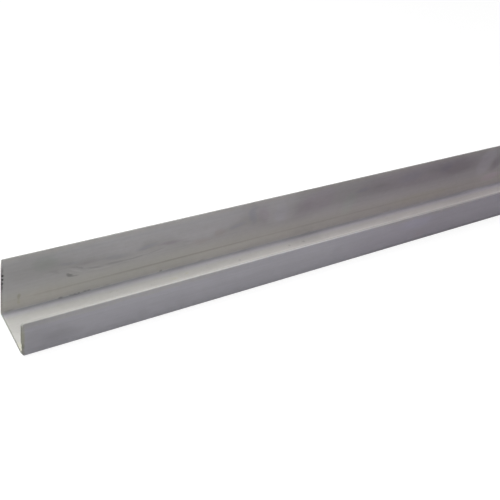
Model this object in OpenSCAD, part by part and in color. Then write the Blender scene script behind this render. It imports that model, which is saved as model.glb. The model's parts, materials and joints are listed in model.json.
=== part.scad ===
// PVC J edge trim for gypsum board: one extruded strip with a tall back leg, a web and a short front leg.
// Row frame: +X along the strip, +Y from the front leg to the back leg, +Z up, in millimetres.
// The origin is under the middle of the web, on the surface that the strip lies on.

/* [Stock] */
// Length of the strip as it is sold
stock_length = 2438; // [300:1:3660]

/* [Channel] */
// Thickness of the board whose edge the channel takes
board_thickness = 15.9; // [9.5:0.1:25.4]
// Play between the board and the two legs, both sides together
board_clearance = 0.2; // [0:0.05:0.8]

/* [Walls] */
// Thickness of the web and both legs
wall = 1; // [0.8:0.05:1.6]
// Height of the back leg above the underside of the web
back_leg_height = 23; // [16:0.1:40]
// Height of the front leg above the underside of the web
front_leg_height = 13.9; // [6:0.1:15]

/* [Edges] */
// Radius of the two long corners under the web
heel_radius = 0.6; // [0.3:0.05:0.95]
// Radius of the two fillets inside the channel
fillet_radius = 0.8; // [0.2:0.05:1.5]
// Radius of the two long edges on top of the front leg
lip_radius = 0.25; // [0.1:0.05:0.39]
// Thickness that the tapered top of the back leg comes down to
tip_thickness = 0.2; // [0.1:0.05:0.75]
// Height of the taper on the rear of the back leg
taper_height = 3; // [1:0.1:6]
// Radius of the front leg's upper corner at each end of the strip
end_corner_radius = 1.2; // [0.4:0.1:3]

/* [Hidden] */
$fn = 64;
outer_width = board_thickness + board_clearance + 2 * wall;
front_face_y = -outer_width / 2;
back_face_y = outer_width / 2;
// How far a cutting shape runs past the face that it cuts
overcut = 1;

// The sliver between a square corner at the origin and the arc of radius r that rounds it.
module corner_sliver(r) {
    difference() {
        square(r);
        translate([r, r])
            circle(r);
    }
}

// The three walls with square corners.
module plain_walls() {
    translate([front_face_y, 0])
        square([outer_width, wall]);
    translate([front_face_y, 0])
        square([wall, front_leg_height]);
    translate([back_face_y - wall, 0])
        square([wall, back_leg_height]);
}

// The fillets where the legs rise from the channel floor.
module channel_fillets() {
    translate([front_face_y + wall, wall])
        corner_sliver(fillet_radius);
    translate([back_face_y - wall, wall])
        mirror([1, 0])
            corner_sliver(fillet_radius);
}

// What is rounded off along the strip: the heels under the web and the lip of the front leg.
module rounded_off_edges() {
    translate([front_face_y, 0])
        corner_sliver(heel_radius);
    translate([back_face_y, 0])
        mirror([1, 0])
            corner_sliver(heel_radius);
    translate([front_face_y, front_leg_height])
        mirror([0, 1])
            corner_sliver(lip_radius);
    translate([front_face_y + wall, front_leg_height])
        rotate(180)
            corner_sliver(lip_radius);
}

// The wedge taken off the rear of the back leg, so that its top lies flat behind the board.
module back_leg_taper() {
    taper_base = back_leg_height - taper_height;
    cut_slope = (wall - tip_thickness) / taper_height;
    polygon([
        [back_face_y, taper_base],
        [back_face_y + overcut, taper_base],
        [back_face_y + overcut, back_leg_height + overcut],
        [back_face_y - wall + tip_thickness - cut_slope * overcut, back_leg_height + overcut]
    ]);
}

// The J section, with the front leg at -X and the back leg at +X of the drawing plane.
module j_section() {
    difference() {
        union() {
            plain_walls();
            channel_fillets();
        }
        rounded_off_edges();
        back_leg_taper();
    }
}

// The rounded upper corner of the front leg, at the end of the strip that lies at x = 0.
module front_leg_end_corner() {
    translate([0, front_face_y + wall + overcut, front_leg_height])
        rotate([90, 0, 0])
            mirror([0, 1])
                linear_extrude(wall + 2 * overcut)
                    corner_sliver(end_corner_radius);
}

module edge_trim() {
    color("darkgray")
        difference() {
            rotate([90, 0, 90])
                linear_extrude(stock_length, center = true)
                    j_section();
            for (side = [0, 1])
                mirror([side, 0, 0])
                    translate([-stock_length / 2, 0, 0])
                        front_leg_end_corner();
        }
}

edge_trim();
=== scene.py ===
"""The look of a J-shaped PVC edge trim for gypsum board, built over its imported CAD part.

Row frame in metres: +X along the strip, +Y from the short front leg to the tall back leg, +Z up.
The strip lies on its web. Names that end in _mm are millimetres, and "along" is measured from the
end that has the lowest X.
"""

import json
import logging
import math
from dataclasses import dataclass
from enum import Enum
from typing import Iterator, Mapping, Sequence

import bmesh
import bpy
import numpy as np
from bmesh.types import BMEdge, BMesh
from bpy.types import ID, Material, Node, NodeSocket, NodeTree, Object, World
from mathutils import Matrix, Vector, noise


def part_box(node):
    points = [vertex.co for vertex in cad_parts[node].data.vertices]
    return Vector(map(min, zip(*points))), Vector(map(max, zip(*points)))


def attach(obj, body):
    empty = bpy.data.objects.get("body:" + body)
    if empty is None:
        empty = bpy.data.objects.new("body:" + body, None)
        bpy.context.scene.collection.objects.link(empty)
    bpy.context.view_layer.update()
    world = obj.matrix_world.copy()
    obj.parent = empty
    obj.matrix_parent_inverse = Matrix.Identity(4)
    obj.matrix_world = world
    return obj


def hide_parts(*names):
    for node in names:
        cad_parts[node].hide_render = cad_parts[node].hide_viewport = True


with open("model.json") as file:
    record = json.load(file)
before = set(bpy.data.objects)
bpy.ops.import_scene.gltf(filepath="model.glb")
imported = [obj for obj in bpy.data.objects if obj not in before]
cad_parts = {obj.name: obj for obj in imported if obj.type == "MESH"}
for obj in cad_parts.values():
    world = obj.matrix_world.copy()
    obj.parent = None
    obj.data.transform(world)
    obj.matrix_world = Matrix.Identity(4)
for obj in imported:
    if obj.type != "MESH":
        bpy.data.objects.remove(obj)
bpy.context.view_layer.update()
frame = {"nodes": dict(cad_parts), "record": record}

MM = 0.001
PIECE = "pvc_strip"
NODE = "edge_trim"
SAWN = "sawn"
# The mesh layer that says where the legs' top edges get painted shade
TOP_EDGE_SHADE = "top_edge_shade"
# Where a colour Mix node has its factor, its two colours and its result
MIX_INPUTS = (0, 6, 7)
MIX_OUTPUT = 2
# How many nodes stand side by side in the editor, and how far apart
NODES_ABREAST = 24
NODE_PITCH = (180, -240)
# Points closer than this are one corner, and points closer to a cut than that lie on it
SAME_CORNER = 1e-6
ON_THE_CUT = 1e-7
# Only the two end faces have more corners than this
MOST_CORNERS = 8
# Edges sharper than this many degrees stay sharp, and this is how far flat faces outweigh arcs
SHARP_ANGLE = 40.0
FLAT_WEIGHT = 100

# Red, green and blue: as a colour, or as the shares by which a layer makes them grow or shrink
Tone = tuple[float, float, float]
# A layer: how much of it shows, from 0 to 1, and its tone
Layer = tuple[NodeSocket, Tone]

log = logging.getLogger("edge_trim")


class Face(Enum):
    """The faces of the strip that a mark can lie on, with the layer that keeps them apart."""

    BACK_LEG = 0.0
    WEB = 100.0
    FRONT_LEG = 200.0
    ELSEWHERE = 300.0


class Tint(Enum):
    """Which way a mark pulls the grey: share added to red, green and blue."""

    NEUTRAL = (0.0, 0.0, 0.0)
    WARM = (0.01, 0.01, -0.07)
    COOL = (-0.01, 0.0, 0.05)
    GREEN = (-0.03, 0.02, -0.02)
    PURPLE = (0.008, -0.025, 0.015)
    RUST = (0.04, -0.03, -0.05)


@dataclass(frozen=True)
class Corner:
    """One long corner of the J section: its place across and up, and how it is rounded."""

    across: float
    up: float
    radius: float = 0.0
    segments: int = 1


@dataclass(frozen=True)
class Mark:
    """A soft-edged cloud, smear or speck, in millimetres along its face and up or across it."""

    along: float
    up: float
    half_along: float
    half_up: float
    shade: float
    tint: Tint = Tint.NEUTRAL
    strength: float = 1.0
    tilt: float = 0.0
    core: float = 0.25

    def tone(self) -> Tone:
        """The share that the mark adds to red, green and blue at its middle."""
        return tuple(self.shade + self.strength * part for part in self.tint.value)


BACK_LEG_MARKS: tuple[Mark, ...] = (
    # Clouds and smears in the upper part: stains, the soft bands along the painted reflection's
    # edge, a broad paler patch of painted light over the near end, and painted shade further along
    Mark(5, 10, 150, 40, 0.07, core=0.1),
    Mark(0, 8, 24, 13, -0.035, core=0.4),
    Mark(40, 3, 35, 5, -0.05, core=0.3),
    Mark(13, 17.8, 5.5, 4.5, -0.07, Tint.GREEN, 0.7),
    Mark(20, 15.3, 5, 1, -0.08, Tint.COOL, 0.6, tilt=-14),
    Mark(27, 13.8, 5.5, 1.3, -0.09, Tint.PURPLE, 0.3),
    Mark(36, 13, 7, 1.3, -0.07, Tint.COOL, 0.5, tilt=-4),
    Mark(46.5, 14.3, 5, 1.4, -0.08, Tint.COOL, tilt=8),
    Mark(54.5, 13.7, 6.5, 1.3, -0.09, Tint.PURPLE, tilt=-4),
    Mark(61.5, 12, 4, 1, -0.07, tilt=-12),
    Mark(66.5, 10.8, 5, 1.8, -0.05, Tint.RUST, 0.35),
    Mark(73.8, 12.6, 2.8, 2.8, -0.06, Tint.RUST, 0.4),
    Mark(80.5, 13.8, 4.5, 1.6, -0.06, Tint.COOL, tilt=10),
    Mark(86.5, 17, 2.6, 6.5, -0.10, Tint.COOL, tilt=12),
    Mark(91, 16, 3, 6.5, -0.06, Tint.PURPLE, tilt=14),
    Mark(98.5, 14.5, 4, 7.5, 0.03, Tint.COOL, 0.5, tilt=20),
    Mark(108.5, 15, 5.5, 7, -0.06, Tint.PURPLE),
    Mark(116, 17, 9, 7.5, -0.02, Tint.PURPLE, 1.3, core=0.4),
    Mark(133, 17, 24, 6, -0.05, core=0.4),
    Mark(136, 16.5, 4.5, 1.8, -0.07, Tint.COOL),
    Mark(145, 16.6, 5, 1.2, -0.09),
    Mark(160, 17.5, 9, 3.5, -0.05, Tint.COOL),
    Mark(168, 17.5, 48, 7, -0.07, Tint.PURPLE, core=0.4),
    Mark(179, 18, 5, 3.5, -0.06, Tint.COOL),
    Mark(187, 17, 13, 5.5, -0.10, Tint.PURPLE, 0.5, core=0.4),
    Mark(204, 16, 6, 9, 0.15, Tint.COOL, 0.6, core=0.5),
    Mark(211.5, 13.5, 4, 5.5, -0.18, Tint.PURPLE),
    Mark(188, 19.5, 26, 7, -0.05, core=0.5),
    Mark(212, 6.3, 9, 3, 0.07, Tint.PURPLE, 2, core=0.3),
    # Thin scuffs in the middle, the dirty sawn edge, and broad clouds, those over the upper leg
    # further along being painted shade
    Mark(23.5, 12.5, 3.6, 0.6, -0.17, tilt=-24),
    Mark(29, 11.1, 3.6, 0.6, -0.17, tilt=-10),
    Mark(36, 11, 6.5, 0.6, -0.18, tilt=-3),
    Mark(43.5, 11.1, 5, 0.5, -0.17, tilt=3),
    Mark(50, 11.4, 4, 0.5, -0.11, tilt=6),
    Mark(39, 10, 5, 0.4, -0.07),
    Mark(20.7, 10.2, 2, 0.8, -0.46, tilt=-32, core=0.3),
    Mark(22.3, 9.3, 1.6, 0.5, -0.20, tilt=-12),
    Mark(23, 11.4, 3.6, 0.5, 0.10, tilt=-26),
    Mark(31, 10.2, 5, 0.5, 0.08, tilt=-3),
    Mark(16, 12.9, 2.4, 0.8, -0.09, tilt=-45),
    Mark(4.9, 6.6, 0.8, 1.6, -0.20, Tint.WARM),
    Mark(5, 4.4, 0.6, 1.6, -0.08, Tint.WARM),
    Mark(0, 16.7, 0.8, 0.8, -0.92, core=0.4),
    Mark(0, 15.2, 0.65, 0.8, -0.92, core=0.4),
    Mark(-0.1, 13.6, 0.7, 1, -0.80, core=0.4),
    Mark(-0.1, 11.9, 0.6, 1.5, -0.62, core=0.4),
    Mark(-0.1, 10.4, 0.5, 1, -0.30),
    Mark(-0.1, 18.6, 0.8, 1.8, -0.38),
    Mark(-0.1, 22.4, 0.7, 1.4, -0.20),
    Mark(105, 13, 22, 5.5, -0.075, core=0.4),
    Mark(140, 13.5, 20, 5.5, -0.05, core=0.4),
    Mark(172, 15.5, 42, 7, -0.065, core=0.4),
    Mark(175, 18.5, 8, 3.5, -0.06),
    Mark(25, 17.5, 13, 5.5, -0.05, core=0.4),
    Mark(180, 7.5, 60, 3.5, 0.01, core=0.5),
    Mark(95, 2.5, 75, 4.5, 0.03, core=0.4),
    Mark(49, 12, 13, 4.5, 0.06),
    Mark(12, 4.2, 15, 4.5, 0.02, Tint.RUST, 0.2, core=0.4),
    Mark(172, 5, 24, 2.8, 0, Tint.WARM, 0.5, core=0.4),
    Mark(131, 12, 4.5, 9, 0.03, Tint.GREEN),
    Mark(212, 5, 12, 9, 0.06, core=0.4),
    Mark(115, 4, 12, 2, -0.05, core=0.4),
    # Specks in the corner of the channel
    Mark(2, 1.3, 2.6, 0.7, -0.2),
    Mark(18.3, 1.3, 1.4, 0.6, -0.42),
    Mark(22, 1.2, 0.9, 0.7, -0.44),
    Mark(23, 1.3, 0.8, 0.6, -0.48),
    Mark(24.3, 1.3, 0.6, 0.5, -0.38),
    Mark(25.9, 1.3, 0.9, 0.6, -0.52),
    Mark(27.2, 1.3, 1.1, 0.6, -0.56),
    Mark(53, 1.3, 1, 0.8, -0.35),
    Mark(59, 1.2, 2.6, 0.6, -0.15),
    Mark(68.5, 1.2, 1.8, 0.6, -0.15),
    Mark(115, 1.3, 3, 0.8, -0.15),
    Mark(33.5, 1.3, 2, 0.8, -0.12),
)
WEB_MARKS: tuple[Mark, ...] = (
    Mark(18.4, 8, 1.5, 0.5, -0.30),
    Mark(24.8, 8, 3.6, 0.5, -0.30),
    Mark(170, 2.6, 36, 1.5, -0.06, core=0.4),
    Mark(212, 6, 24, 4.5, 0.06, core=0.4),
    Mark(22, 3, 58, 11, -0.085, core=0.4),
    Mark(112, 6, 11, 9, -0.10),
    Mark(2, -5, 10, 8, -0.07, core=0.4),
    Mark(135, 3.5, 28, 3, -0.05, core=0.3),
    Mark(45, 2.2, 45, 1.4, -0.06, core=0.4),
    Mark(0, 5.5, 8, 4, 0.035),
    Mark(154, 4, 6, 1.6, -0.08),
    Mark(199, 4.2, 22, 1.7, -0.055, core=0.5),
    Mark(78, 4.2, 20, 1.5, -0.045, core=0.4),
    Mark(130, 2.7, 24, 0.6, 0.07, core=0.5),
    Mark(1.5, -6.5, 4, 3, 0, Tint.WARM, 1.5),
    Mark(56, 3.6, 2.2, 0.7, -0.04, Tint.WARM),
    Mark(61, 4.4, 1.2, 0.5, -0.05, Tint.WARM),
    Mark(82, 4, 0.8, 0.5, -0.20),
    Mark(104, 4.3, 0.8, 0.6, -0.24),
    Mark(110.5, 4.5, 0.8, 0.6, -0.24),
)
FRONT_LEG_MARKS: tuple[Mark, ...] = (
    # Most of these are painted shading: darker near the end and at the foot next to the floor,
    # paler along the top and warm on the lip as lit from above, and darker further along
    Mark(2, 6, 17, 7.5, -0.16, core=0.3),
    Mark(12, 4.8, 9, 3.6, -0.13),
    Mark(0, 4.2, 1, 2.2, -0.36, Tint.WARM),
    Mark(0.2, 1.6, 1.1, 1.6, -0.20, Tint.WARM),
    Mark(0, 7, 1, 8, -0.07, Tint.WARM, 3),
    Mark(0, 10, 7, 3, 0.035),
    Mark(165, 0, 60, 1.6, -0.11, core=0.5),
    Mark(202, 4.5, 16, 3.5, -0.06),
    Mark(148, 1.9, 8, 0.8, 0.06),
    Mark(20, 13.3, 70, 2, 0, Tint.WARM, 0.7, core=0.5),
    Mark(50, 0.2, 48, 1.6, -0.07, core=0.5),
    Mark(180, 7, 75, 25, 0, Tint.PURPLE, core=0.4),
    Mark(2, 13, 9, 2.5, -0.06, core=0.4),
    Mark(85, 2.5, 75, 1.8, -0.04, core=0.5),
    Mark(125, 10, 12, 5, -0.045, core=0.4),
    Mark(170, 0, 75, 2.6, -0.22, core=0.5),
    Mark(37.5, 4, 3, 2.4, -0.06),
    Mark(75, 12.5, 85, 6, 0.12, core=0.4),
    Mark(152, 10.5, 12, 5, 0.07, Tint.COOL),
    Mark(56, 8, 3, 6, 0.02),
    Mark(114, 7, 3.5, 9, -0.04),
    Mark(195, 6, 95, 22, -0.22, core=0.2),
    Mark(156, 3.5, 5, 3, -0.01, Tint.RUST, 0.5),
    Mark(173, 1.5, 5, 2, -0.08),
    Mark(185, 0.6, 34, 0.9, -0.24, core=0.5),
    Mark(160, 4, 62, 2.8, -0.035, core=0.5),
    Mark(82, 0.5, 30, 0.9, -0.10, core=0.5),
    Mark(155, 13.6, 32, 1.6, 0, Tint.WARM, 0.8, core=0.5),
)
MARKS: dict[Face, tuple[Mark, ...]] = {
    Face.BACK_LEG: BACK_LEG_MARKS, Face.WEB: WEB_MARKS, Face.FRONT_LEG: FRONT_LEG_MARKS,
}

# Height of the lower edge of the painted reflection that makes the upper part of the back leg
# paler, and how pale it is, at points along the strip
REFLECTION_EDGE_HEIGHT: tuple[tuple[float, float], ...] = (
    (0, 20.5), (11, 20), (16, 17.5), (22, 15.5), (30, 14.5), (41, 13.2), (47, 15), (54, 14.6),
    (60, 12.6), (67, 11.4), (73, 13.4), (80, 14.6), (86, 16), (92, 13.6), (99, 11), (106, 13.5),
    (113, 18), (240, 20),
)
REFLECTION_STRENGTH: tuple[tuple[float, float], ...] = (
    (0, 0.4), (14, 0.5), (22, 0.8), (32, 1.0), (76, 1.0), (87, 0.6), (94, 0.8), (104, 0.45),
    (112, 0.15), (240, 0.1),
)
# How strongly the tint has drifted at points along the strip
DRIFT: tuple[tuple[float, float], ...] = (
    (0, 0.0), (40, 0.05), (90, 0.35), (140, 0.75), (180, 0.95), (240, 1.0),
)

# How dark the painted shade and the dust in the corner of the channel are at points along the strip
CORNER_SHADE_AND_DUST: tuple[tuple[float, float], ...] = (
    (0, 0.4), (8, 1.0), (36, 1.05), (42, 0.7), (50, 0.8), (62, 1.05), (86, 1.05), (92, 0.45),
    (99, 0.6), (106, 1.1), (114, 1.3), (130, 1.3), (145, 0.7), (160, 0.7), (185, 0.85),
    (205, 0.35), (240, 0.1),
)
# How clear the die's line is at points along the strip
DIE_LINE_STRENGTH: tuple[tuple[float, float], ...] = (
    (0, 0.0), (8, 0.15), (16, 0.5), (32, 0.6), (40, 1.0), (76, 0.9), (90, 0.5), (140, 0.4),
    (175, 0.15), (240, 0.15),
)
# How far each saw cut stands out towards the low end, at points round the section: millimetres
# down the front leg (below minus half the width), across the web, and up the back leg
SAW_LINE: tuple[tuple[float, float], ...] = (
    (-23.0, 0.24), (-19.7, 0.24), (-14.5, 0.11), (-13.5, -0.12), (-10.0, -0.24), (-7.0, -0.17),
    (-2.0, -0.15), (3.0, -0.11), (8.0, -0.03), (9.5, 0.1), (11.0, 0.2), (13.5, 0.28),
    (16.0, 0.24), (18.6, 0.2), (21.0, 0.12), (23.5, 0.06), (26.0, 0.02), (29.0, 0.02), (32.0, 0.0),
)
# How deep the painted shade on the legs' top edges reaches, as a share of the edge's radius, and
# the share over which it fades
TOP_SHADE_DEPTH = 0.8
TOP_SHADE_FADE = 0.6


@dataclass
class NodeGraph:
    """Adds nodes to one node tree and links them, so that a finish reads as a list of steps."""

    tree: NodeTree

    def add(self, kind: str, feeds: Mapping[int | str, object] | None = None,
            **settings: object) -> Node:
        """Adds one node and fills its inputs.

        Args:
            kind: Blender's name of the node type.
            feeds: What goes into an input, by the input's place or name: a socket or a value.
            settings: Attributes to set on the node.

        Returns:
            The new node.
        """
        row, column = divmod(len(self.tree.nodes), NODES_ABREAST)
        node = self.tree.nodes.new(kind)
        node.location = (NODE_PITCH[0] * column, NODE_PITCH[1] * row)
        for name, value in settings.items():
            setattr(node, name, value)
        for place, value in (feeds or {}).items():
            if isinstance(value, NodeSocket):
                self.tree.links.new(value, node.inputs[place])
            else:
                node.inputs[place].default_value = value
        return node

    def math(self, operation: str, *values: object, clamp: bool = False) -> NodeSocket:
        """Adds a Math node.

        Args:
            operation: Blender's name of the operation.
            values: Its inputs, as sockets or numbers.
            clamp: Whether the result is held between 0 and 1.

        Returns:
            The node's output.
        """
        node = self.add("ShaderNodeMath", dict(enumerate(values)), operation=operation,
                        use_clamp=clamp)
        return node.outputs[0]

    def times(self, product: object, *factors: object) -> NodeSocket:
        """Multiplies numbers, such as the covers that a layer is held in by.

        Args:
            product: The first socket or number.
            factors: What it is multiplied by, one after the other.

        Returns:
            The product.
        """
        for factor in factors:
            product = self.math("MULTIPLY", product, factor)
        return product

    def vector(self, operation: str, *values: object) -> NodeSocket:
        """Adds a Vector Math node.

        Args:
            operation: Blender's name of the operation.
            values: Its inputs, as sockets or vectors.

        Returns:
            The node's vector output, or its value output for LENGTH.
        """
        node = self.add("ShaderNodeVectorMath", dict(enumerate(values)), operation=operation)
        return node.outputs["Value" if operation == "LENGTH" else "Vector"]

    def spread(self, value: NodeSocket, low: float, high: float, start: float = 0.0,
               end: float = 1.0, smooth: bool = True) -> NodeSocket:
        """Maps a value from one span onto another and holds it at the ends.

        Args:
            value: The socket to map.
            low: Where the span of the input starts.
            high: Where the span of the input ends.
            start: The result at low.
            end: The result at high.
            smooth: Whether the step between the two is eased.

        Returns:
            The mapped value.
        """
        kind = "SMOOTHSTEP" if smooth else "LINEAR"
        node = self.add("ShaderNodeMapRange", dict(enumerate((value, low, high, start, end))),
                        interpolation_type=kind, clamp=True)
        return node.outputs[0]

    def axes(self, point: NodeSocket) -> Sequence[NodeSocket]:
        """Splits a vector into its three numbers."""
        return self.add("ShaderNodeSeparateXYZ", {0: point}).outputs

    def join(self, *numbers: object) -> NodeSocket:
        """Joins three numbers or sockets into a vector."""
        return self.add("ShaderNodeCombineXYZ", dict(enumerate(numbers))).outputs[0]

    def attribute(self, name: str) -> NodeSocket:
        """Reads a number that the mesh carries."""
        return self.add("ShaderNodeAttribute", attribute_name=name).outputs["Fac"]

    def clouds(self, point: NodeSocket, stretch: Sequence[float], detail: float = 2.0,
               shift: float = 0.0) -> NodeSocket:
        """Adds noise whose grain has a given size along each axis.

        Args:
            point: The coordinates, in millimetres.
            stretch: The grain's size along X, Y and Z, in millimetres.
            detail: How many finer layers the noise has.
            shift: Moves the pattern, so that two uses differ.

        Returns:
            The noise, about 0.5 in the mean.
        """
        scaled = self.vector("MULTIPLY", point, tuple(1.0 / size for size in stretch))
        moved = self.vector("ADD", scaled, (shift, shift * 0.7, -shift))
        feeds = {"Vector": moved, "Scale": 1.0, "Detail": detail, "Roughness": 0.5}
        return self.add("ShaderNodeTexNoise", feeds).outputs["Fac"]

    def lay(self, layer: Layer, below: NodeSocket) -> NodeSocket:
        """Lays a tone over the tones so far, as far as its cover says.

        Args:
            layer: The cover and the tone.
            below: The tones so far.

        Returns:
            The tones with the new one.
        """
        cover, tone = layer
        grown = tuple(1.0 + share for share in tone) + (1.0,)
        node = self.add("ShaderNodeMix", dict(zip(MIX_INPUTS, (cover, below, grown))),
                        data_type="RGBA", blend_type="MULTIPLY", clamp_factor=False)
        return node.outputs[MIX_OUTPUT]

    def patch(self, point: NodeSocket, face: Face, mark: Mark) -> NodeSocket:
        """Finds how much of a mark shows.

        Args:
            point: Millimetres along and up the face, with the face's layer as the third number.
            face: The face that the mark lies on.
            mark: The mark to lay down.

        Returns:
            One in the mark's middle, nought outside it.
        """
        away = self.vector("SUBTRACT", point, (mark.along, mark.up, face.value))
        if mark.tilt:
            turn = {"Vector": away, "Angle": -math.radians(mark.tilt)}
            away = self.add("ShaderNodeVectorRotate", turn, rotation_type="Z_AXIS").outputs[0]
        size = (1.0 / mark.half_along, 1.0 / mark.half_up, 1.0)
        reach = self.vector("LENGTH", self.vector("MULTIPLY", away, size))
        return self.spread(reach, mark.core, 1.0, 1.0, 0.0)

    def profile(self, value: NodeSocket, points: Sequence[tuple[float, float]]) -> NodeSocket:
        """Reads a smooth line through a few points, such as a height at places along the strip.

        Args:
            value: Where to read the line.
            points: The points, in order; the last one gives the span, and heights stay positive.

        Returns:
            The line's height there.
        """
        span = points[-1][0]
        tallest = max(height for _, height in points)
        share = self.math("DIVIDE", value, span, clamp=True)
        node = self.add("ShaderNodeFloatCurve", {"Value": share})
        line = node.mapping.curves[0]
        for _ in range(len(points) - 2):
            line.points.new(0.5, 0.5)
        for knot, (place, height) in zip(line.points, points):
            knot.location = (place / span, height / tallest)
        node.mapping.update()
        return self.times(node.outputs[0], tallest)


def empty_graph(owner: Material | World) -> NodeGraph:
    """Clears the nodes of a material or a world.

    Args:
        owner: The material or world.

    Returns:
        Its graph, with no nodes in it.
    """
    owner.use_nodes = True
    owner.node_tree.nodes.clear()
    return NodeGraph(owner.node_tree)


def put_in_scene(name: str, data: ID) -> Object:
    """Makes an object and puts it in the scene, at the origin.

    Args:
        name: The object's name.
        data: Its mesh, lamp or camera.

    Returns:
        The object.
    """
    thing = bpy.data.objects.new(name, data)
    bpy.context.scene.collection.objects.link(thing)
    return thing


@dataclass(frozen=True)
class Spot:
    """The point that is finished: its place, and where it is on the strip laid out flat."""

    graph: NodeGraph
    point: NodeSocket
    along: NodeSocket
    up: NodeSocket
    flat: NodeSocket
    on_back: NodeSocket
    on_web: NodeSocket
    on_front: NodeSocket
    sawn: NodeSocket


@dataclass(frozen=True)
class ExtrudedPvc:
    """Semi-matt grey PVC as it leaves the die: clouds, faint lengthwise lines, dust and grime, with
    painted shade, painted light and a painted reflection in its colour.
    """

    length_mm: float
    half_width_mm: float
    wall_mm: float
    back_height_mm: float
    die_line_mm: float
    web_skin_mm: float = 0.3
    grey: Tone = (0.604, 0.596, 0.607)
    roughness: float = 0.5
    roughness_swing: float = 0.04
    refraction: float = 1.5
    wander_mm: tuple[float, float] = (4.0, 2.0)
    relief_mm: float = 0.03
    relief_strength: float = 0.15
    # What each layer adds to the grey
    # A painted reflection: the paler upper part of the back leg
    painted_reflection: Tone = (0.25, 0.25, 0.28)
    rim: Tone = (0.06, 0.06, 0.025)
    # Painted shade on the lit tops of the front leg's lip, more of it further along, and of the
    # back leg's tip
    lip: Tone = (-0.25, -0.25, -0.30)
    far_lip_shade: Tone = (-0.25, -0.25, -0.25)
    tip: Tone = (-0.6, -0.6, -0.62)
    drift: Tone = (0.019, -0.018, 0.02)
    # The next six paint light onto the faces: the back leg paler overall and paler and warmer low
    # down as lit from the floor, the web a little cooler but warmer towards its front, and the
    # front leg cooler
    low_back_bounce_light: Tone = (0.035, 0.035, 0.035)
    low_back_warm_light: Tone = (0.0, 0.0, -0.075)
    back: Tone = (0.04, 0.04, 0.032)
    web: Tone = (-0.005, 0.0, 0.03)
    web_front_warm_light: Tone = (0.005, 0.0, -0.09)
    front: Tone = (-0.03, -0.035, 0.035)
    # Painted shade in the corner of the channel and at the back leg's foot, with dust in it
    corner_shade_and_dust: Tone = (-0.225, -0.225, -0.21)
    fillet_shade_and_dust: Tone = (-0.15, -0.15, -0.15)
    back_foot_shade_and_dust: Tone = (-0.16, -0.15, -0.12)
    specks: Tone = (-0.12, -0.12, -0.15)
    # Painted shade at the front leg's foot next to the floor, broken up by grit
    foot_grit_and_shade: Tone = (-0.25, -0.25, -0.25)
    die_line: Tone = (-0.22, -0.23, -0.25)
    # The sawn faces: dirt and painted shade, lifted on the web's end and deepest on the front leg's
    # end
    sawn: Tone = (-0.4, -0.39, -0.45)
    saw_streaks: Tone = (-0.1, -0.1, -0.1)
    sawn_web: Tone = (0.35, 0.35, 0.38)
    sawn_front_dirt_and_shade: Tone = (-0.5, -0.5, -0.54)
    clouding: Tone = (0.12, 0.12, 0.13)
    streaks: Tone = (0.03, 0.03, 0.03)
    mottling: Tone = (0.025, 0.025, 0.03)

    def material(self) -> Material:
        """Builds the material.

        Returns:
            The material, on Object coordinates.
        """
        finish = bpy.data.materials.new("extruded_pvc")
        graph = empty_graph(finish)
        spot = self._unroll(graph)
        tones = graph.add("ShaderNodeRGB").outputs[0]
        tones.default_value = self.grey + (1.0,)
        for step in (self._marks, self._paint_reflection, self._shade_top_edges, self._drift, self._shade_and_dust,
                     self._die_line, self._ends, self._grain):
            for layer in step(spot):
                tones = graph.lay(layer, tones)
        mottle = graph.clouds(spot.point, (9.0, 3.0, 3.0), shift=31.0)
        shader = graph.add("ShaderNodeBsdfPrincipled", {
            "Base Color": tones,
            "Roughness": graph.spread(mottle, 0.3, 0.7, self.roughness - self.roughness_swing,
                                      self.roughness + self.roughness_swing),
            "IOR": self.refraction,
            "Normal": self._relief(spot),
        })
        graph.add("ShaderNodeOutputMaterial", {"Surface": shader.outputs[0]})
        return finish

    def _unroll(self, graph: NodeGraph) -> Spot:
        """Lays the strip out flat: along it, up a leg or across the web, and the face's layer.

        Args:
            graph: The material's graph.

        Returns:
            The point to finish, in millimetres.
        """
        metres = graph.add("ShaderNodeTexCoord").outputs["Object"]
        point = graph.vector("MULTIPLY", metres, (1.0 / MM,) * 3)
        x, y, z = graph.axes(point)
        inner = self.half_width_mm - self.wall_mm
        along = graph.math("ADD", x, self.length_mm / 2)
        above = graph.math("GREATER_THAN", z, self.wall_mm / 2)
        low = graph.math("LESS_THAN", z, self.wall_mm + self.web_skin_mm)
        inside = graph.math("LESS_THAN", graph.math("ABSOLUTE", y), inner)
        on_web = graph.times(above, low, inside)
        off_web = graph.math("SUBTRACT", 1.0, on_web)
        sawn = graph.attribute(SAWN)
        facing = graph.times(graph.math("GREATER_THAN", y, 0.0),
                             graph.math("LESS_THAN", y, inner + self.wall_mm / 2))
        facing = graph.math("MAXIMUM", facing,
                            graph.times(sawn, graph.math("GREATER_THAN", y, inner)))
        on_back = graph.times(facing, off_web)
        on_front = graph.math("MAXIMUM",
                              graph.math("LESS_THAN", y, self.wall_mm / 2 - self.half_width_mm),
                              graph.times(sawn, graph.math("LESS_THAN", y, -inner)))
        up = graph.math("ADD", graph.times(on_web, y), graph.times(off_web, z))
        none = graph.math("SUBTRACT", graph.math("SUBTRACT", off_web, on_back), on_front)
        layer = graph.times(on_web, Face.WEB.value)
        layer = graph.math("MULTIPLY_ADD", on_front, Face.FRONT_LEG.value, layer)
        layer = graph.math("MULTIPLY_ADD", none, Face.ELSEWHERE.value, layer)
        return Spot(graph, point, along, up, graph.join(along, up, layer), on_back, on_web,
                    on_front, sawn)

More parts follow.
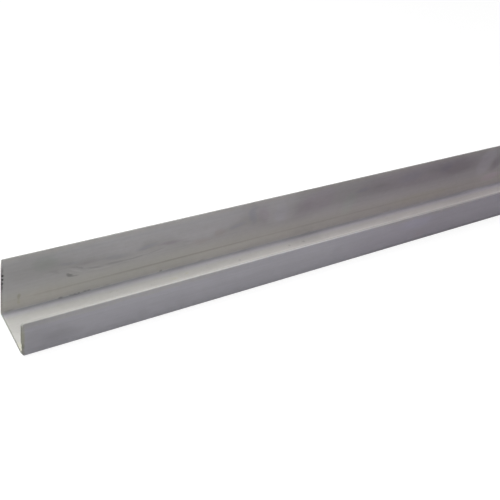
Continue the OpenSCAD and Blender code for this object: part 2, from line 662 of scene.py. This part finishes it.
    def _marks(self, spot: Spot) -> Iterator[Layer]:
        """Lays down the single marks, with edges that wander a little except at the near end.

        Args:
            spot: The point to finish.

        Returns:
            The layers, from the lowest up.
        """
        graph = spot.graph
        sway = graph.join(graph.clouds(spot.point, (7.0, 4.0, 4.0), detail=3.0),
                          graph.clouds(spot.point, (9.0, 4.0, 4.0), detail=3.0, shift=17.0), 0.5)
        sway = graph.vector("SUBTRACT", sway, (0.5, 0.5, 0.5))
        loose = graph.spread(spot.along, 0.0, 12.0)
        swing = graph.join(*(graph.times(loose, reach) for reach in self.wander_mm), 0.0)
        wandering = graph.vector("MULTIPLY_ADD", sway, swing, spot.flat)
        for face, marks in MARKS.items():
            for mark in marks:
                yield graph.patch(wandering, face, mark), mark.tone()

    def _paint_reflection(self, spot: Spot) -> Iterator[Layer]:
        """Paints a reflection that makes the upper part of the back leg paler above a wavy line,
        and makes its top paler still.

        Args:
            spot: The point to finish.

        Returns:
            The layers, from the lowest up.
        """
        graph = spot.graph
        wobble = graph.clouds(spot.point, (10.0, 5.0, 5.0), detail=3.0, shift=5.0)
        line = graph.math("ADD", graph.profile(spot.along, REFLECTION_EDGE_HEIGHT),
                          graph.spread(wobble, 0.2, 0.8, -1.2, 1.2, smooth=False))
        over = graph.spread(graph.math("SUBTRACT", spot.up, line), -1.6, 2.4)
        cover = graph.times(over, spot.on_back, graph.profile(spot.along, REFLECTION_STRENGTH))
        # The painted reflection over the upper back leg, above the wavy line
        yield cover, self.painted_reflection
        rim = graph.spread(spot.up, self.back_height_mm - 2.6, self.back_height_mm - 0.6)
        yield graph.times(rim, spot.on_back), self.rim

    def _shade_top_edges(self, spot: Spot) -> Iterator[Layer]:
        """Paints shade on the narrow top edges of both legs, which the lamps above light, and more
        on the lip further along.

        Args:
            spot: The point to finish.

        Returns:
            The layers, from the lowest up.
        """
        graph = spot.graph
        _, y, _ = graph.axes(spot.point)
        top_edge_shade = graph.attribute(TOP_EDGE_SHADE)
        # Painted shade on the lit tops: the front leg's lip, deeper further along, and the back
        # leg's tip
        lip = graph.times(top_edge_shade, graph.math("LESS_THAN", y, 0.0))
        yield lip, self.lip
        yield graph.times(lip, graph.spread(spot.along, 60.0, 200.0)), self.far_lip_shade
        yield graph.math("SUBTRACT", top_edge_shade, lip), self.tip

    def _drift(self, spot: Spot) -> Iterator[Layer]:
        """Lets the tint drift along the strip, and tints the three faces apart with painted light:
        the back leg paler, and warmer and paler low down as lit from the floor, the web a little
        cooler but warmer towards its front, the front leg cooler.

        Args:
            spot: The point to finish.

        Returns:
            The layers, from the lowest up.
        """
        graph = spot.graph
        slow = graph.clouds(spot.point, (420.0, 90.0, 90.0), detail=1.0, shift=3.0)
        far = graph.spread(spot.along, 200.0, 320.0)
        swing = graph.times(far, graph.spread(slow, 0.35, 0.65, 1.0, 0.0))
        drift = graph.math("SUBTRACT", graph.profile(spot.along, DRIFT), swing)
        yield drift, self.drift
        # Painted light: the faces' tints, and the floor's bounce on the low back leg
        yield graph.times(graph.spread(spot.up, 7.0, 16.0, 1.0, 0.0), spot.on_back), self.low_back_bounce_light
        yield graph.times(graph.spread(spot.up, 4.5, 12.0, 1.0, 0.0), spot.on_back), self.low_back_warm_light
        yield spot.on_back, self.back
        yield spot.on_web, self.web
        yield graph.times(graph.spread(spot.up, 4.8, 6.8, 1.0, 0.0), spot.on_web), self.web_front_warm_light
        yield spot.on_front, self.front

    def _shade_and_dust(self, spot: Spot) -> Iterator[Layer]:
        """Paints shade, with dust in it, into the corner of the channel, dots the web with specks,
        and darkens the front leg's heel with painted shade broken up by grit.

        Args:
            spot: The point to finish.

        Returns:
            The layers, from the lowest up.
        """
        graph = spot.graph
        patchy = graph.spread(graph.clouds(spot.point, (14.0, 60.0, 60.0), detail=3.0, shift=9.0),
                              0.3, 0.7, 0.6, 1.0)
        # Painted shade and dust in the corner of the channel, on the web and at the back leg's foot
        yield graph.times(graph.spread(spot.up, 6.0, 8.0), spot.on_web, patchy), self.corner_shade_and_dust
        fillet = graph.times(graph.spread(spot.up, 6.4, 7.5), spot.on_web)
        yield graph.times(fillet, graph.profile(spot.along, CORNER_SHADE_AND_DUST)), self.fillet_shade_and_dust
        foot = graph.spread(spot.up, 1.2, 2.4, 1.0, 0.0)
        yield graph.times(foot, spot.on_back, patchy), self.back_foot_shade_and_dust
        speck = graph.clouds(spot.point, (1.1, 0.8, 0.8), detail=1.0, shift=23.0)
        yield graph.times(graph.spread(speck, 0.70, 0.78), spot.on_web), self.specks
        # Painted shade at the front leg's foot next to the floor, broken up by grit
        foot_grit_and_shade = graph.spread(graph.clouds(spot.point, (1.6, 0.7, 0.7), shift=47.0), 0.55, 0.75)
        edge = graph.times(graph.spread(spot.up, 0.4, 3.2, 1.0, 0.0), spot.on_front)
        yield graph.times(foot_grit_and_shade, edge), self.foot_grit_and_shade

    def _die_line(self, spot: Spot) -> Iterator[Layer]:
        """Draws the thin line that the die leaves along the back leg.

        Args:
            spot: The point to finish.

        Returns:
            The layers, from the lowest up.
        """
        graph = spot.graph
        away = graph.math("ABSOLUTE", graph.math("SUBTRACT", spot.up, self.die_line_mm))
        line = graph.times(graph.spread(away, 0.1, 0.65, 1.0, 0.0), spot.on_back)
        held = graph.profile(spot.along, DIE_LINE_STRENGTH)
        worn = graph.spread(graph.clouds(spot.point, (30.0, 80.0, 80.0), shift=13.0),
                            0.3, 0.6, 0.7, 1.0)
        yield graph.times(line, held, worn), self.die_line

    def _ends(self, spot: Spot) -> Iterator[Layer]:
        """Darkens the two sawn faces with dirt and with painted shade against the side lamp's
        light, least on the web and most on the front leg.

        Args:
            spot: The point to finish.

        Returns:
            The layers, from the lowest up.
        """
        graph = spot.graph
        yield spot.sawn, self.sawn
        lines = graph.clouds(spot.point, (4.0, 3.0, 0.3), shift=37.0)
        yield graph.times(spot.sawn, graph.spread(lines, 0.3, 0.7)), self.saw_streaks
        _, y, _ = graph.axes(spot.point)
        inside = graph.math("LESS_THAN", y, self.half_width_mm - self.wall_mm)
        clean = graph.times(graph.spread(y, -7.0, -1.0), inside)
        yield graph.times(spot.sawn, clean), self.sawn_web
        yield graph.times(spot.sawn, spot.on_front), self.sawn_front_dirt_and_shade

    def _grain(self, spot: Spot) -> Iterator[Layer]:
        """Adds the soft clouds, lengthwise streaks and fine mottling of the whole strip.

        Args:
            spot: The point to finish.

        Returns:
            The layers, from the lowest up.
        """
        graph = spot.graph
        cloud = graph.clouds(spot.point, (55.0, 12.0, 12.0), detail=3.0, shift=61.0)
        bold = graph.spread(spot.along, 190.0, 260.0, 0.25, 1.0)
        streak = graph.clouds(spot.point, (240.0, 0.9, 0.9), shift=71.0)
        mottle = graph.clouds(spot.point, (2.2, 1.2, 1.2), shift=83.0)
        for pattern, shares, tone in ((cloud, (bold,), self.clouding), (streak, (), self.streaks),
                                      (mottle, (), self.mottling)):
            swing = graph.spread(pattern, 0.25, 0.75, -1.0, 1.0, smooth=False)
            yield graph.times(swing, *shares), tone

    def _relief(self, spot: Spot) -> NodeSocket:
        """Gives the surface its faint lengthwise lines and fine orange peel.

        Args:
            spot: The point to finish.

        Returns:
            The normal.
        """
        graph = spot.graph
        lines = graph.clouds(spot.point, (160.0, 0.5, 0.5), shift=91.0)
        peel = graph.clouds(spot.point, (0.8, 0.5, 0.5), detail=1.0, shift=97.0)
        height = graph.math("MULTIPLY_ADD", lines, 0.6, graph.times(peel, 0.4))
        bump = {"Strength": self.relief_strength, "Distance": self.relief_mm * MM, "Height": height}
        return graph.add("ShaderNodeBump", bump).outputs[0]


@dataclass
class JTrim:
    """The strip: back leg, web and front leg in one extrusion, sawn off square at both ends."""

    length: float
    half_width: float
    wall: float
    back_height: float
    front_height: float
    arc_segments: int = 6
    lip_segments: int = 4
    tip_segments: int = 2
    heel_radius: float = 0.6 * MM
    fillet_radius: float = 0.8 * MM
    lip_radius: float = 0.25 * MM
    tip_thickness: float = 0.35 * MM
    taper_height: float = 3.0 * MM
    end_corner_drop: float = 1.5 * MM
    end_corner_reach: float = 0.85 * MM
    lip_depth: float = 0.35 * MM
    heel_wear: float = 0.5 * MM
    heel_wear_reach: float = 1.5 * MM
    die_line_height: float = 5.45 * MM
    die_line_depth: float = 0.05 * MM
    die_line_width: float = 0.4 * MM
    ring_spacing: float = 12.0 * MM
    end_rings: tuple[float, ...] = (0.04, 0.12, 0.22, 0.34, 0.5, 0.8, 1.2, 2.5)
    tip_radius: float = 0.06 * MM
    saw_chamfer: float = 0.06 * MM
    saw_step: tuple[float, float] = (4.4 * MM, 5.4 * MM)
    bow: float = 0.05 * MM
    bow_wavelength: float = 160.0 * MM
    bow_seed: tuple[float, float] = (7.3, 1.7)

    def corners(self) -> list[Corner]:
        """The section's corners in order, from the front heel round to the lip.

        Returns:
            The corners, with the radius that each is rounded by.
        """
        outer = self.half_width
        inner = outer - self.wall
        tip = inner + self.tip_thickness
        line = self.die_line_height
        half_line = self.die_line_width / 2
        return [
            Corner(-outer, 0.0, self.heel_radius, self.arc_segments),
            Corner(self.heel_wear_reach - outer, 0.0),
            Corner(outer, 0.0, self.heel_radius, self.arc_segments),
            Corner(outer, self.back_height - self.taper_height),
            Corner(tip, self.back_height, self.tip_radius, self.tip_segments),
            Corner(inner, self.back_height, self.tip_radius, self.tip_segments),
            Corner(inner, line + half_line),
            Corner(inner + self.die_line_depth, line),
            Corner(inner, line - half_line),
            Corner(inner, self.wall, self.fillet_radius, self.arc_segments),
            Corner(-inner, self.wall, self.fillet_radius, self.arc_segments),
            Corner(-inner, self.saw_step[0]),
            Corner(-inner, self.saw_step[1]),
            Corner(-inner, self.front_height, self.lip_radius, self.lip_segments),
            Corner(-outer, self.front_height, self.lip_radius, self.lip_segments),
            Corner(-outer, self.saw_step[1]),
            Corner(-outer, self.saw_step[0]),
            Corner(-outer, self.heel_wear_reach),
        ]

    def build(self) -> Object:
        """Makes the strip's mesh and its object.

        Returns:
            The object, at the origin, with its place in its mesh.
        """
        mesh = bmesh.new()
        mesh.faces.layers.float.new(SAWN)
        mesh.verts.layers.float.new(TOP_EDGE_SHADE)
        self._extrude(mesh)
        self._round_long_corners(mesh)
        self._cut_rings(mesh)
        self._mark_shaded_top_edges(mesh)
        self._chamfer_ends(mesh)
        self._round_end_corners(mesh)
        self._wear_heel_corners(mesh)
        self._saw_unevenly(mesh)
        self._bow_legs(mesh)
        bmesh.ops.recalc_face_normals(mesh, faces=mesh.faces)
        strip = self._to_object(mesh)
        mesh.free()
        return strip

    def _extrude(self, mesh: BMesh) -> None:
        """Draws the section at one end and extrudes it along the strip.

        Args:
            mesh: The empty mesh to fill.
        """
        start = self.saw_chamfer - self.length / 2
        outline = [mesh.verts.new((start, corner.across, corner.up)) for corner in self.corners()]
        section = mesh.faces.new(outline)
        far_end = bmesh.ops.extrude_discrete_faces(mesh, faces=[section])["faces"][0]
        bmesh.ops.translate(mesh, vec=(-2 * start, 0.0, 0.0), verts=far_end.verts)
        # The extrusion drops the near end's face, so it is put back, facing out
        mesh.faces.new(outline[::-1])

    def _long_edges(self, mesh: BMesh) -> list[BMEdge]:
        """The edges that run along the strip."""
        return [edge for edge in mesh.edges
                if abs(edge.verts[0].co.x - edge.verts[1].co.x) > self.ring_spacing / 2]

    def _round_long_corners(self, mesh: BMesh) -> None:
        """Bevels each long corner that has a radius.

        Args:
            mesh: The plain extrusion.
        """
        for corner in self.corners():
            if corner.radius <= 0.0:
                continue
            place = Vector((corner.across, corner.up))
            edges = [edge for edge in self._long_edges(mesh)
                     if (edge.verts[0].co.yz - place).length < SAME_CORNER]
            bmesh.ops.bevel(mesh, geom=edges, offset=corner.radius, segments=corner.segments,
                            profile=0.5, affect="EDGES", material=-1)

    def _cut_rings(self, mesh: BMesh) -> None:
        """Cuts the long faces into rings, closer together at both ends.

        Args:
            mesh: The rounded extrusion.
        """
        cuts = round(self.length / self.ring_spacing) - 1
        bmesh.ops.subdivide_edges(mesh, edges=self._long_edges(mesh), cuts=cuts,
                                  use_grid_fill=True)
        for distance in self.end_rings:
            for side in (-1.0, 1.0):
                place = side * (self.length / 2 - self.saw_chamfer - distance * MM)
                near = [face for face in mesh.faces
                        if abs(face.calc_center_median().x - place) < 2 * self.ring_spacing]
                # Not a set, which would hold them in another order on each run
                parts = dict.fromkeys(near)
                parts.update((edge, None) for face in near for edge in face.edges)
                parts.update((vert, None) for face in near for vert in face.verts)
                bmesh.ops.bisect_plane(mesh, geom=list(parts), plane_co=(place, 0.0, 0.0),
                                       plane_no=(1.0, 0.0, 0.0), dist=ON_THE_CUT)

    def _mark_shaded_top_edges(self, mesh: BMesh) -> None:
        """Marks the tip of the back leg and the lip of the front leg, whose tops get painted shade.

        Args:
            mesh: The ringed extrusion.
        """
        top_edge_shade = mesh.verts.layers.float[TOP_EDGE_SHADE]
        for vert in mesh.verts:
            back = vert.co.y > 0.0
            top = self.back_height if back else self.front_height
            depth = (self.tip_radius if back else self.lip_radius) * TOP_SHADE_DEPTH
            share = (vert.co.z - top + depth) / (depth * TOP_SHADE_FADE)
            vert[top_edge_shade] = min(1.0, max(0.0, share))

    def _chamfer_ends(self, mesh: BMesh) -> None:
        """Breaks the sharp rim that a saw leaves round each end, and triangulates the two ends.

        Args:
            mesh: The ringed extrusion.
        """
        ends = [face for face in mesh.faces if len(face.verts) > MOST_CORNERS]
        rims = bmesh.ops.inset_individual(mesh, faces=ends, thickness=self.saw_chamfer,
                                          depth=self.saw_chamfer, use_even_offset=True)["faces"]
        sawn = mesh.faces.layers.float[SAWN]
        for face in ends + rims:
            face[sawn] = 1.0
        ends = [face for face in mesh.faces if len(face.verts) > MOST_CORNERS]
        bmesh.ops.triangulate(mesh, faces=ends)

    def _round_end_corners(self, mesh: BMesh) -> None:
        """Lowers the front leg's lip near each end, along an arc.

        Args:
            mesh: The strip with its ends.
        """
        for vert in mesh.verts:
            lip = vert.co.z > self.front_height - self.lip_depth
            near = 1.0 - (self.length / 2 - abs(vert.co.x)) / self.end_corner_reach
            if vert.co.y < 0.0 and lip and near > 0.0:
                vert.co.z -= self.end_corner_drop * (1.0 - math.sqrt(max(0.0, 1.0 - near**2)))

    def _wear_heel_corners(self, mesh: BMesh) -> None:
        """Wears back the front heel's corner at each end of the strip.

        Args:
            mesh: The strip with its ends.
        """
        heel = Vector((-self.half_width, 0.0))
        for vert in mesh.verts:
            distance = self.length / 2 - abs(vert.co.x)
            near = 1.0 - (vert.co.yz - heel).length / self.heel_wear_reach
            if near > 0.0 and distance < self.heel_wear_reach:
                back = self.heel_wear * near * (1.0 - distance / self.heel_wear_reach)
                vert.co.x -= math.copysign(back, vert.co.x)

    def _saw_unevenly(self, mesh: BMesh) -> None:
        """Moves both saw cuts a little off square, along the line that the saw took.

        Args:
            mesh: The strip with its ends.
        """
        reach = 2 * self.ring_spacing
        places, offsets = zip(*SAW_LINE)
        for vert in mesh.verts:
            distance = self.length / 2 - abs(vert.co.x)
            if distance < reach:
                across, up = vert.co.y, vert.co.z
                if abs(across) > self.half_width - self.wall:
                    across = math.copysign(self.half_width + up, across)
                offset = float(np.interp(across / MM, places, offsets)) * MM
                vert.co.x -= offset * (1.0 - distance / reach)

    def _bow_legs(self, mesh: BMesh) -> None:
        """Lets both legs lean in and out a little along the strip, more at their tops.

        Args:
            mesh: The finished shape.
        """
        for vert in mesh.verts:
            leg = 1.0 if vert.co.y > 0.0 else -1.0
            place = (vert.co.x / self.bow_wavelength, self.bow_seed[0] * leg, self.bow_seed[1])
            wave = noise.noise(Vector(place))
            lean = min(1.0, max(0.0, vert.co.z - self.wall) / self.back_height)
            vert.co.y += self.bow * wave * lean

    def _to_object(self, mesh: BMesh) -> Object:
        """Turns the bmesh into an object with smooth arcs and flat flats.

        Args:
            mesh: The finished bmesh.

        Returns:
            The object.
        """
        data = bpy.data.meshes.new(PIECE)
        mesh.to_mesh(data)
        data.shade_smooth()
        data.set_sharp_from_angle(angle=math.radians(SHARP_ANGLE))
        strip = put_in_scene(PIECE, data)
        even = strip.modifiers.new("Flat faces stay flat", "WEIGHTED_NORMAL")
        even.keep_sharp = True
        even.weight = FLAT_WEIGHT
        return strip

    def dress(self, strip: Object) -> None:
        """Gives the strip its finish.

        Args:
            strip: The object that build() made.
        """
        finish = ExtrudedPvc(
            length_mm=self.length / MM,
            half_width_mm=self.half_width / MM,
            wall_mm=self.wall / MM,
            back_height_mm=self.back_height / MM,
            die_line_mm=self.die_line_height / MM,
        )
        strip.data.materials.append(finish.material())


@dataclass
class Studio:
    """The pale floor, the soft lamps, the world and the camera."""

    near_end_x: float
    floor_half: float = 15.0
    floor_gap: float = 0.05 * MM
    floor_bounce: float = 0.5
    floor_glow: float = 0.89
    floor_shadow: float = 0.2
    ambient: float = 0.14
    lens_mm: float = 56.484
    yaw: float = 42.071
    pitch: float = 40.722
    roll: float = 15.628
    sensor_mm: float = 36.0
    nearest: float = 0.01
    farthest: float = 100.0
    camera_from_end_mm: tuple[float, float, float] = (-53.04, -149.51, 182.70)

    def build(self) -> None:
        """Makes the floor, the world, the lamps and the camera."""
        bpy.context.scene.view_settings.view_transform = "Standard"
        self._floor()
        self._world()
        self._lamps()
        self._camera()

    def _shown_rays(self, graph: NodeGraph) -> NodeSocket:
        """Tells the rays that show the background from the light that bounces about.

        Args:
            graph: The graph of the floor or the world.

        Returns:
            One for rays from the camera and for reflections, nought for the others.
        """
        rays = graph.add("ShaderNodeLightPath").outputs
        some = graph.math("MAXIMUM", rays["Is Camera Ray"], rays["Is Glossy Ray"])
        return graph.math("MAXIMUM", some, rays["Is Transmission Ray"])

    def _floor(self) -> None:
        """Lays a wide floor that shows white, keeps a faint shadow and throws little light back."""
        mesh = bmesh.new()
        bmesh.ops.create_grid(mesh, x_segments=4, y_segments=4, size=self.floor_half)
        bmesh.ops.translate(mesh, vec=(0.0, 0.0, -self.floor_gap), verts=mesh.verts)
        data = bpy.data.meshes.new("floor")
        mesh.to_mesh(data)
        mesh.free()
        floor = put_in_scene("floor", data)
        finish = bpy.data.materials.new("pale_floor")
        graph = empty_graph(finish)
        bounce = graph.add("ShaderNodeBsdfDiffuse", {"Color": (self.floor_bounce,) * 3 + (1.0,)})
        shadow = graph.add("ShaderNodeBsdfDiffuse", {"Color": (self.floor_shadow,) * 3 + (1.0,)})
        glow = graph.add("ShaderNodeEmission", {"Strength": self.floor_glow})
        shown = graph.add("ShaderNodeAddShader", {0: glow.outputs[0], 1: shadow.outputs[0]})
        mix = graph.add("ShaderNodeMixShader", {0: self._shown_rays(graph), 1: bounce.outputs[0],
                                                2: shown.outputs[0]})
        graph.add("ShaderNodeOutputMaterial", {"Surface": mix.outputs[0]})
        data.materials.append(finish)

    def _world(self) -> None:
        """Makes a world that shows white and lights the part softly from all sides."""
        world = bpy.data.worlds.new("studio")
        bpy.context.scene.world = world
        graph = empty_graph(world)
        strength = graph.spread(self._shown_rays(graph), 0.0, 1.0, self.ambient, 1.0,
                                smooth=False)
        sky = graph.add("ShaderNodeBackground",
                        {"Strength": strength, "Color": (1.0, 1.0, 1.0, 1.0)})
        graph.add("ShaderNodeOutputWorld", {"Surface": sky.outputs[0]})

    def _lamp(self, name: str, place: Sequence[float], target: Sequence[float], power: float,
              size: Sequence[float], cone: float = 180.0) -> None:
        """Hangs one soft rectangular lamp.

        Args:
            name: The lamp's name.
            place: Where it hangs, from the strip's near end, in metres.
            target: What it points at, from the same end.
            power: Its power in watts.
            size: Its two sides in metres.
            cone: How wide its light spreads, in degrees.
        """
        light = bpy.data.lights.new(name, "AREA")
        light.shape = "RECTANGLE"
        light.size, light.size_y = size
        light.energy = power
        light.spread = math.radians(cone)
        lamp = put_in_scene(name, light)
        near_end = Vector((self.near_end_x, 0.0, 0.0))
        start = near_end + Vector(place)
        aim = near_end + Vector(target)
        lamp.location = start
        lamp.rotation_euler = (aim - start).to_track_quat("-Z", "Y").to_euler()
        lamp.visible_camera = False
        lamp.visible_glossy = False

    def _lamps(self) -> None:
        """Hangs two lamps at the near end, and three that light the rest as brightly."""
        self._lamp("over_lamp", (0.03, 0.065, 0.35), (0.03, 0.01, 0.0), 0.9, (0.15, 0.17))
        self._lamp("side_lamp", (-0.3, 0.0, 0.3), (0.03, 0.0, 0.0), 0.84, (0.3, 0.3))
        self._lamp("long_lamp", (1.75, 0.3, 0.9), (1.75, 0.0, 0.0), 4.0, (1.6, 0.5))
        self._lamp("wide_lamp", (1.53, 0.0, 0.25), (1.53, 0.0, 0.0), 1.7, (2.1, 0.5), cone=90.0)
        self._lamp("gap_lamp", (0.38, -0.03, 0.2), (0.38, 0.0, 0.0), 0.032, (0.2, 0.16), cone=50.0)

    def _camera(self) -> None:
        """Sets up the camera at the near end, looking along and down at the strip."""
        yaw, pitch, roll = (math.radians(a) for a in (self.yaw, self.pitch, self.roll))
        ahead = Vector((math.sin(yaw) * math.cos(pitch), math.cos(yaw) * math.cos(pitch),
                        -math.sin(pitch)))
        level = Vector((math.cos(yaw), -math.sin(yaw), 0.0))
        upright = level.cross(ahead)
        right = math.cos(roll) * level + math.sin(roll) * upright
        up = math.cos(roll) * upright - math.sin(roll) * level
        turn = Matrix((right, up, -ahead)).transposed().to_4x4()
        data = bpy.data.cameras.new("camera")
        data.lens = self.lens_mm
        data.sensor_width = self.sensor_mm
        data.clip_start = self.nearest
        data.clip_end = self.farthest
        camera = put_in_scene("camera", data)
        end = Vector((self.near_end_x, 0.0, 0.0))
        place = end + Vector(self.camera_from_end_mm) * MM
        camera.matrix_world = Matrix.Translation(place) @ turn
        bpy.context.scene.camera = camera


def front_leg_height(node: Object) -> float:
    """How high the front leg of the CAD part stands.

    Args:
        node: The CAD node.

    Returns:
        The height in metres.
    """
    return max(vert.co.z for vert in node.data.vertices if vert.co.y < 0.0)


def web_thickness(record: dict) -> float:
    """The web's thickness, which is the height of the mount on the channel's floor.

    Args:
        record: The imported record.

    Returns:
        The thickness in metres.
    """
    seats = [mount for mount in record["mounts"] if mount["name"] == "board_seat"]
    return seats[0]["pos_m"][2]


def main() -> None:
    """Builds the strip and the studio round it."""
    logging.basicConfig(level=logging.INFO, format="%(message)s")
    low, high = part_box(NODE)
    trim = JTrim(
        length=high.x - low.x,
        half_width=(high.y - low.y) / 2,
        wall=web_thickness(frame["record"]),
        back_height=high.z,
        front_height=front_leg_height(frame["nodes"][NODE]),
    )
    strip = trim.build()
    trim.dress(strip)
    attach(strip, "root")
    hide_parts(NODE)
    log.info("%s: %d faces", strip.name, len(strip.data.polygons))
    Studio(near_end_x=low.x).build()
    log.info("studio: floor, world, lamps and camera")


if __name__ == "__main__":
    main()
